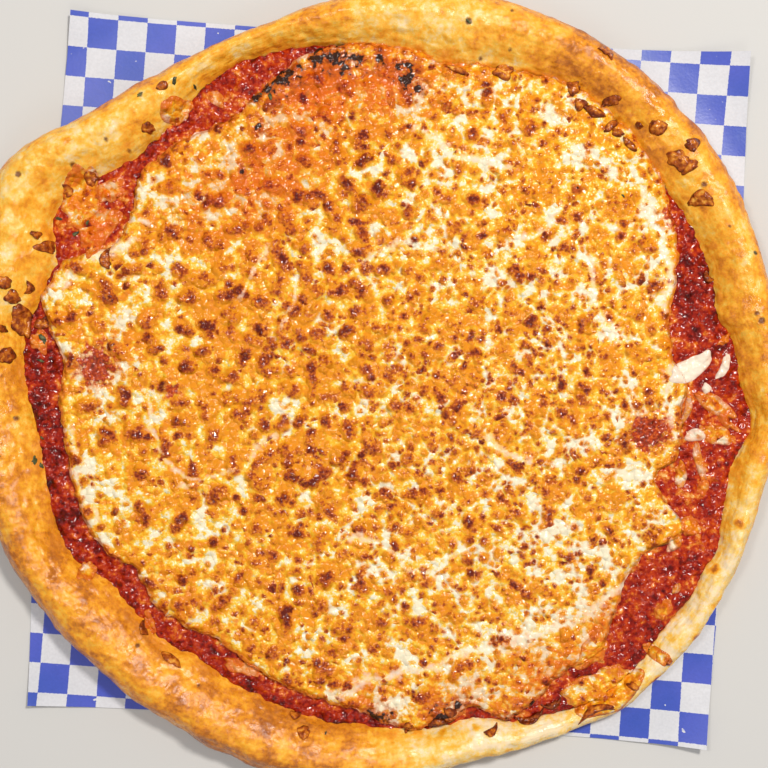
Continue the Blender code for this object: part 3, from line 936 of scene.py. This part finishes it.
thick = 1 - np.exp(-np.clip(to_edge, 0, None) / EDGE_SLOPE)
top[:, 2] = (CHEESE_THICKNESS + layered(level_place, CHEESE_SWELL)) * thick + CHEESE_RAISE + CHEESE_BASE
wavy = layered(level_place, CHEESE_RIPPLES)
top[:, 2] += (dome / 1000 + wavy) * soft_step(to_edge, 0.0, 0.003)

streak = np.full(len(top), -3.0)
wandering_x = x + layered(level_place + 1.3, STREAK_WANDER)
wandering_y = y + layered(level_place + 2.6, STREAK_WANDER)
for width, *route in CREAM_STREAKS:
    for (start_x, start_y), (end_x, end_y) in zip(route, route[1:]):
        run_x, run_y = end_x - start_x, end_y - start_y
        along = (wandering_x - start_x) * run_x + (wandering_y - start_y) * run_y
        along = np.clip(along / (run_x * run_x + run_y * run_y), 0, 1)
        away = np.hypot(wandering_x - start_x - along * run_x, wandering_y - start_y - along * run_y)
        streak = np.maximum(streak, 1 - away / width)
burnt = np.full(len(top), -3.0)
for burnt_x, burnt_y, size in BURNT:
    burnt = np.maximum(burnt, 1 - np.hypot(x - burnt_x, y - burnt_y) / size)

move_points(cheese.data, top + np.array(PIZZA_MIDDLE))
for key, values in {
    "spot": spot,
    "gold": soft_zones(x, y, GOLD_ZONES) + layered(level_place, GOLD_WANDER),
    "tint": soft_zones(x, y, TINT_ZONES) + layered(level_place + 0.5, TINT_WANDER),
    "freckles": soft_zones(x, y, FRECKLE_ZONES),
    "red_show": soft_zones(x, y, RED_ZONES),
    "streak": streak,
    "burnt": burnt,
    "rim": to_edge * 1000,
}.items():
    add_attribute(cheese.data, key, values)
close_below(cheese, EDGE_LIP, EDGE_TUCK)

melted, shader, add, connect = finish_material("melted_cheese")
place = add("TexCoord").node.outputs["Object"]
shaken = stirred(add, place, place, 120.0, 0.0, (0.0048, 0.0048, 0.0))
shaken = stirred(add, place, shaken, 700.0, 1.0, (0.0010, 0.0010, 0.0))
mottle = add("TexNoise", place, Scale=310.0, Detail=2.0, Roughness=0.55)
fine = add("TexNoise", place, Scale=900.0, Detail=1.0, Roughness=0.5)
broad = add("TexNoise", shaken, Scale=110.0, Detail=2.0)


def blister_cells(scale, smallest, largest, share):
    """Signed distance in millimetres to round blisters, some to a cell, of which a share show."""
    cells = add("TexVoronoi", shaken, Scale=scale, voronoi_dimensions="2D").node
    choice = add("SeparateColor", cells.outputs["Color"]).node
    radius = add("MapRange", choice.outputs[0], 0.0, 1.0, smallest, largest)
    shown = add("Math", choice.outputs[1], share, operation="LESS_THAN")
    radius = math_line(add, shown, plus(add, radius, 3.0), -3.0)
    from_middle = times(add, cells.outputs["Distance"], 1000 / scale)
    return add("Math", from_middle, radius, operation="SUBTRACT")


freckle_share = attribute(add, "freckles")
streak_value = math_line(add, mottle, 3.0, math_line(add, broad, 2.4, attribute(add, "streak")))
bare = add("MapRange", streak_value, 2.9, 3.9, 0.0, 1.0)
medium_blisters = blister_cells(150.0, 0.8, 2.4, math_line(add, freckle_share, 0.45, 0.38))
small_blisters = blister_cells(270.0, 0.45, 1.2, math_line(add, freckle_share, 0.50, 0.36))
smooth_depth = add("Math", attribute(add, "spot"), medium_blisters, 0.5, operation="SMOOTH_MIN")
smooth_depth = add("Math", smooth_depth, small_blisters, 0.4, operation="SMOOTH_MIN")
depth = math_line(add, mottle, 2.6, plus(add, fine, plus(add, smooth_depth, -1.75)))
depth = math_line(add, bare, 1.2, depth)

halo = add("MapRange", depth, 0.3, 2.6, 0.34, 0.0)
golden = math_line(add, mottle, 2.5, math_line(add, broad, 3.8, math_line(add, fine, 1.1, -3.30)))
golden = plus(add, golden, plus(add, attribute(add, "gold"), halo))
golden = math_line(add, bare, -0.42, golden)
outside = ramped(
    add,
    golden,
    (0.05, (0.90, 0.79, 0.55)),
    (0.21, (0.91, 0.68, 0.27)),
    (0.39, (0.93, 0.57, 0.060)),
    (0.70, (0.92, 0.43, 0.008)),
    (1.00, (0.84, 0.28, 0.004)),
)
# Some blisters are only tanned and others nearly burnt
varied = add("TexNoise", place, Scale=190.0, Detail=0.0)
fried_depth = math_line(add, varied, 1.9, math_line(add, fine, 1.2, -1.55))
fried_depth = plus(add, fried_depth, add("MapRange", depth, -2.6, 0.4, 0.0, 1.12))
inside = ramped(
    add,
    fried_depth,
    (0.00, (0.14, 0.012, 0.003)),
    (0.28, (0.31, 0.040, 0.004)),
    (0.56, (0.49, 0.092, 0.006)),
    (0.82, (0.68, 0.175, 0.006)),
    (1.00, (0.82, 0.28, 0.006)),
)
browned = mixed(add, add("MapRange", depth, -0.10, 1.15, 0.0, 1.0), inside, outside)
# Oil from the sauce tints some zones orange, and the very edge is stained red
tinted = add("MapRange", math_line(add, mottle, 1.4, attribute(add, "tint")), 0.85, 1.75, 0.0, 0.85)
browned = mixed(add, tinted, browned, mixed(add, 1.0, browned, OIL_TINT, "MULTIPLY"))
by_edge = add("MapRange", math_line(add, mottle, -4.0, attribute(add, "rim")), 0.6, -1.2, 0.0, 0.70)
browned = mixed(add, by_edge, browned, EDGE_RED)
# Sauce breaks through in the red places
wet_red = ramped(
    add,
    math_line(add, mottle, 0.8, math_line(add, fine, 0.7, -0.25)),
    (0.30, (0.13, 0.005, 0.002)),
    (0.50, (0.36, 0.018, 0.004)),
    (0.66, (0.60, 0.075, 0.008)),
    (0.85, (0.86, 0.30, 0.020)),
)
red_value = math_line(add, mottle, 2.4, attribute(add, "red_show"))
browned = mixed(add, add("MapRange", red_value, 1.35, 1.75, 0.0, 0.7), browned, ORANGE_OIL)
browned = mixed(add, add("MapRange", red_value, 1.70, 2.00, 0.0, 0.95), browned, wet_red)
browned = mixed(add, add("MapRange", streak_value, 3.2, 4.4, 0.0, 0.75), browned, CREAM)
char_value = math_line(add, mottle, 5.0, attribute(add, "burnt"))
browned = mixed(add, add("MapRange", char_value, 1.6, 2.7, 0.0, 0.85), browned, SCORCHED)
browned = mixed(add, add("MapRange", char_value, 2.7, 3.1, 0.0, 0.96), browned, CHARRED)
connect(browned, shader.inputs["Base Color"])
connect(add("MapRange", depth, -0.5, 1.5, 0.14, 0.25), shader.inputs["Roughness"])
shader.inputs["Specular IOR Level"].default_value = 0.42
shader.inputs["Subsurface Weight"].default_value = 0.03
shader.inputs["Subsurface Scale"].default_value = 0.0010
bubbles = add("Math", add("TexVoronoi", place, Scale=370.0), 2.0, operation="POWER")
ripples = add("TexNoise", place, Scale=360.0, Detail=0.0)
relief = math_line(add, bubbles, -0.8, times(add, ripples, 0.9))
relief = plus(add, relief, add("MapRange", smooth_depth, -1.2, 0.6, 0.6, 0.0))
roughen(add, connect, shader, relief, CHEESE_RELIEF, add("MapRange", bare, 0.0, 1.0, 1.0, 0.35))
cheese.data.materials.append(melted)
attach(cheese, "root")
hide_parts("cheese")


# Cheese on the sauce
# Tatters of the same cheese that ran out over the sauce and the rim, or stayed there as strings
# when it was spread: white and bare at the right, orange and crisp at the lower right.
TATTER_CELLS = 26
TATTER_HEIGHT = 0.0012
TATTER_CURL = 0.25
SKIN_THICKNESS = 0.0007
BEDDED = 0.0001
ABOVE_ALL = 0.05
LUMP_SIZE = 0.0030
# Each is (direction in degrees, distance, length and width in millimetres, turn in degrees from
# lying round the pizza, gold, tint, bareness)
TATTERS = (
    (2.8, 138, 21, 9, -62, -0.6, 0.0, 1.3),
    (2.8, 152.7, 13, 4.5, -26, -0.6, 0.0, 1.3),
    (359.2, 145, 5, 4, 0, -0.5, 0.0, 1.2),
    (355.5, 137, 14, 3.5, -8, -0.4, 0.1, 0.6),
    (351.0, 142, 6, 10, 20, -0.3, 0.1, 1.0),
    (356.8, 148, 20, 8, 60, 0.0, 0.8, 0.1),
    (351.5, 152, 17, 8, 74, -0.1, 0.5, 0.4),
    (353.8, 155, 14, 4, 50, 0.2, 1.2, 0.0),
    (346.5, 146, 22, 4, 30, -0.1, 0.5, 0.4),
    (343.5, 139, 12, 6, 10, -0.1, 0.3, 0.5),
    (335.5, 152, 8, 9, -20, 0.2, 0.5, 0.0),
    (332.0, 148, 9, 6, 0, -0.2, 0.2, 0.4),
    (343.0, 150, 9, 5, 10, 0.4, 1.0, 0.0),
    (306.5, 166, 36, 20, -8, 0.2, 0.35, 0.0),
    (309.0, 150, 18, 11, 0, 0.2, 0.5, 0.0),
    (322.0, 160, 10, 7, 10, 0.3, 0.6, 0.0),
    (325.8, 159.5, 6, 3.2, -5, -0.3, 0.0, 0.5),
    (316.4, 171, 5.5, 14, 8, 0.5, 0.2, 0.0),
    (148.5, 151, 30, 17, 10, 0.3, 0.6, 0.0),
    (151.5, 139, 24, 14, 0, 0.3, 1.3, 0.0),
    (144.0, 143, 14, 9, -20, 0.2, 1.0, 0.0),
    (126.0, 147, 15, 10, 0, 0.2, 0.5, 0.3),
    (119.0, 143, 6, 9, 20, -0.2, 0.8, 0.6),
    (102.5, 144, 6, 6.5, 0, -0.3, 0.0, 0.2),
    (7.2, 154, 3.5, 6, 30, 0.5, 0.4, 0.0),
    (213.0, 149, 8, 8, 0, 0.5, 0.5, 0.0),
    (226.5, 143, 10, 4, -20, 0.4, 0.9, 0.0),
    (245.0, 137, 16, 6, 0, 0.2, 1.6, 0.0),
    (172.5, 148, 11, 8, 30, 0.1, 1.6, 0.2),
)


def surface_of(solid):
    """A solid's faces, ready to be searched for what lies below a place."""
    return BVHTree.FromObject(solid, bpy.context.evaluated_depsgraph_get())


def lay_piece(name, size, direction, distance, length, width, turn, rough, surfaces, curl=0.0):
    """A thin rounded piece that follows what it lies on. Its size is (cells, height)."""
    cells, height = size
    obj, share, around = add_disc(name, cells)
    bearing = math.radians(direction)
    centre = round_points(distance / 1000, bearing, 0, PIZZA_MIDDLE)
    edge_place = round_points(0.9, around, distance, (direction, 0))
    uneven_edge = 1 + rough * unevenness(edge_place, 1.0, 2)
    along = share * uneven_edge * np.cos(around)
    across = share * uneven_edge * np.sin(around) * width / 2000
    across += curl * (along**2 - 0.3) * length / 2000
    along *= length / 2000
    facing = bearing + math.pi / 2 + math.radians(turn)
    x = centre[0] + along * math.cos(facing) + across * math.sin(facing)
    y = centre[1] + along * math.sin(facing) - across * math.cos(facing)
    z = np.full(len(x), CRUST_BASE)
    for surface in surfaces:
        for corner, place in enumerate(zip(x, y)):
            hit = surface.ray_cast((*place, ABOVE_ALL), (0, 0, -1))[0]
            if hit:
                z[corner] = max(z[corner], hit.z)
    resting = z > CRUST_BASE
    z[~resting] = z[resting].min()
    lumps = 0.8 + 0.35 * unevenness(np.stack((x, y, 0 * x), axis=-1), LUMP_SIZE, 2)
    rise = height * np.sqrt(np.clip(1 - share**2, 0, 1)) * lumps
    move_points(obj.data, np.stack((x, y, z + rise - BEDDED), axis=-1))
    add_attribute(obj.data, "rim", (1 - share) * min(length, width) / 2)
    bpy.ops.object.mode_set(mode="EDIT")
    bpy.ops.mesh.select_all(action="SELECT")
    bpy.ops.mesh.flip_normals()
    bpy.ops.object.mode_set(mode="OBJECT")
    skin = obj.modifiers.new("thickness", "SOLIDIFY")
    skin.thickness = SKIN_THICKNESS
    skin.offset = -1
    bpy.ops.object.modifier_apply(modifier=skin.name)
    return obj


def join_pieces(pieces, name):
    """One mesh of several pieces."""
    bpy.ops.object.select_all(action="DESELECT")
    for piece in pieces:
        piece.select_set(True)
    bpy.context.view_layer.objects.active = pieces[0]
    bpy.ops.object.join()
    pieces[0].name = name
    return pieces[0]


curler = random.Random(4)
tatters = []
surfaces = [surface_of(solid) for solid in (crust, sauce, cheese)]
for *laid, gold_here, tint_here, bareness in TATTERS:
    ragged = 0.5 - 0.2 * bareness
    curl = curler.uniform(-TATTER_CURL, TATTER_CURL)
    piece = lay_piece("tatter", (TATTER_CELLS, TATTER_HEIGHT), *laid, ragged, surfaces, curl)
    for key, value in {
        "spot": 3.0,
        "gold": gold_here,
        "tint": tint_here,
        "freckles": -0.3,
        "red_show": -1.0,
        "streak": 2.6 * bareness - 1.6,
        "burnt": -2.0,
    }.items():
        add_attribute(piece.data, key, np.full(len(piece.data.vertices), value))
    tatters.append(piece)
tatter_sheet = join_pieces(tatters, "cheese_tatters")
tatter_sheet.data.materials.append(melted)
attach(tatter_sheet, "root")


# Browned shreds
# Grated cheese that fell on the rim and fried there into hard, glossy brown curls with dark edges.
# They lie in loose groups and stick to the dough.
SHRED_CELLS = 18
SHRED_HEIGHT = 0.0023
SHRED_RELIEF = 0.0010
SHRED_STRETCH = 1.15
SHRED_CURL = 0.6
SHRED_ROUGHNESS = 0.4
# Each is (direction in degrees, distance, length and width in millimetres, turn, darkness)
SHREDS = (
    (29.5, 162, 10, 6, 60, 0.3), (36.3, 163.5, 10, 8, 20, 0.5), (37.0, 171, 5, 7, 0, 0.9),
    (34.6, 165, 4, 7, 10, 0.5), (42.2, 165.5, 7, 7, 30, 0.6), (44.4, 160.5, 4, 2.5, 0, 0.7),
    (50.0, 160.5, 7, 5, 45, 0.8), (47.6, 152, 3.5, 8, 0, 0.6), (51.2, 152, 9, 5, 15, 0.6),
    (53.8, 151, 5, 5, 0, 0.5), (56.2, 155, 5, 6, 30, 0.7), (43.4, 152, 7, 3.5, 0, 0.4),
    (46.0, 152, 5, 4, 20, 0.4), (67.6, 147, 8, 7, 30, 0.4), (75.0, 141.5, 9, 3, -10, 0.2),
    (55.0, 175, 7, 5, 0, 0.6), (144.0, 152.5, 6, 5, 0, 0.5), (147.8, 158, 5, 4, 30, 0.3),
    (157.4, 154.5, 4.5, 7, 20, 0.7), (156.2, 160, 3, 4, 0, 0.8), (164.8, 164.5, 5, 6, 30, 0.7),
    (166.6, 160.5, 5, 7, 40, 0.7), (170.0, 156, 12, 8, 20, 0.7), (171.6, 162.5, 3, 4, 0, 0.8),
    (175.6, 160, 7, 7, 0, 0.9), (164.6, 155.5, 5, 3, 0, 0.6), (169.6, 147.5, 5, 8, 40, 0.8),
    (131.6, 148, 5, 5, 0, 0.4), (155.2, 129, 7, 5, 40, 0.8), (125.4, 157.5, 5, 3.5, 0, 0.3),
    (258.4, 154, 5, 5, 0, 0.4), (256.4, 148.5, 4, 3, 0, 0.4), (275.6, 150.5, 4, 5, 0, 0.5),
    (226.6, 146.5, 6, 2.5, -30, 0.5), (233.6, 148.5, 8, 3, 0, 0.2), (17.8, 152.5, 5, 4, 20, 0.8),
    (295.0, 161, 12, 3, -4, 1.0), (299.0, 160, 8, 3, -8, 1.0), (288.5, 159, 6, 3, 10, 0.8),
    (304.0, 172, 15, 3.5, -10, 0.6), (280.5, 150.3, 9, 3, 0, 1.0), (283.0, 146.5, 5, 4, -20, 1.0),
    (316.6, 177, 3.5, 3, 0, 0.6), (310.5, 173.5, 3, 6, 20, 0.4),
)

shreds = []
for direction, distance, length, width, turn, darkness in SHREDS:
    laid = (direction, distance, length * SHRED_STRETCH, width, turn, SHRED_ROUGHNESS)
    curl = curler.uniform(-SHRED_CURL, SHRED_CURL)
    piece = lay_piece("shred", (SHRED_CELLS, SHRED_HEIGHT), *laid, surfaces, curl)
    add_attribute(piece.data, "darkness", np.full(len(piece.data.vertices), darkness))
    shreds.append(piece)
shred_pile = join_pieces(shreds, "browned_shreds")

fried, shader, add, connect = finish_material("fried_cheese")
place = add("TexCoord").node.outputs["Object"]
patches = add("TexNoise", place, Scale=420.0, Detail=2.0)
tone = plus(add, add("MapRange", attribute(add, "rim"), 0.0, 1.3, 0.22, 0.0), -0.40)
tone = math_line(add, attribute(add, "darkness"), 0.30, math_line(add, patches, 1.5, tone))
brown = ramped(
    add,
    tone,
    (0.15, (0.86, 0.42, 0.060)),
    (0.38, (0.66, 0.20, 0.014)),
    (0.60, (0.38, 0.075, 0.008)),
    (0.85, (0.14, 0.020, 0.004)),
)
connect(brown, shader.inputs["Base Color"])
shader.inputs["Roughness"].default_value = 0.18
shader.inputs["Specular IOR Level"].default_value = 0.34
roughen(add, connect, shader, add("TexNoise", place, Scale=480.0, Detail=1.0), SHRED_RELIEF)
shred_pile.data.materials.append(fried)
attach(shred_pile, "root")


# Herbs
# A pinch of dried green leaf, broken small, that was strewn over the pizza and has stuck to the
# sauce, the cheese and the rim.
LEAF_CELLS = 8
LEAF_HEIGHT = 0.0007
LEAF_WIDTH_SHARE = 0.5
LEAF_ROUGHNESS = 0.6
LEAF_TURN = 37
# Each is (direction in degrees, distance and length in millimetres)
LEAVES = (
    (129.1, 160, 3.0), (123.3, 156.5, 3.6), (121.2, 151, 2.6), (152.4, 156, 3.4), (153.4, 146.5, 3.6),
    (150.6, 144, 2.4), (172.3, 146.5, 4.4), (176.0, 146.5, 3.0), (191.0, 164.5, 1.8), (192.6, 152, 4.2),
    (193.8, 150, 2.8), (189.2, 147.5, 2.2), (110.0, 133, 3.2), (111.5, 136, 2.0), (75.6, 161, 2.6),
    (37.2, 135.5, 2.0), (19.0, 173.6, 2.0), (262.0, 153, 1.6),
)

leaves = []
surfaces.append(surface_of(tatter_sheet))
for number, (direction, distance, length) in enumerate(LEAVES):
    laid = (direction, distance, length, length * LEAF_WIDTH_SHARE, LEAF_TURN * number, LEAF_ROUGHNESS)
    leaves.append(lay_piece("leaf", (LEAF_CELLS, LEAF_HEIGHT), *laid, surfaces))
leaf_bits = join_pieces(leaves, "dried_leaves")

dried, shader, add, connect = finish_material("dried_leaf")
place = add("TexCoord").node.outputs["Object"]
patches = add("TexNoise", place, Scale=700.0, Detail=1.0)
green = ramped(add, patches, (0.35, (0.020, 0.024, 0.008)), (0.65, (0.12, 0.13, 0.035)))
connect(green, shader.inputs["Base Color"])
shader.inputs["Roughness"].default_value = 0.5
leaf_bits.data.materials.append(dried)
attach(leaf_bits, "root")
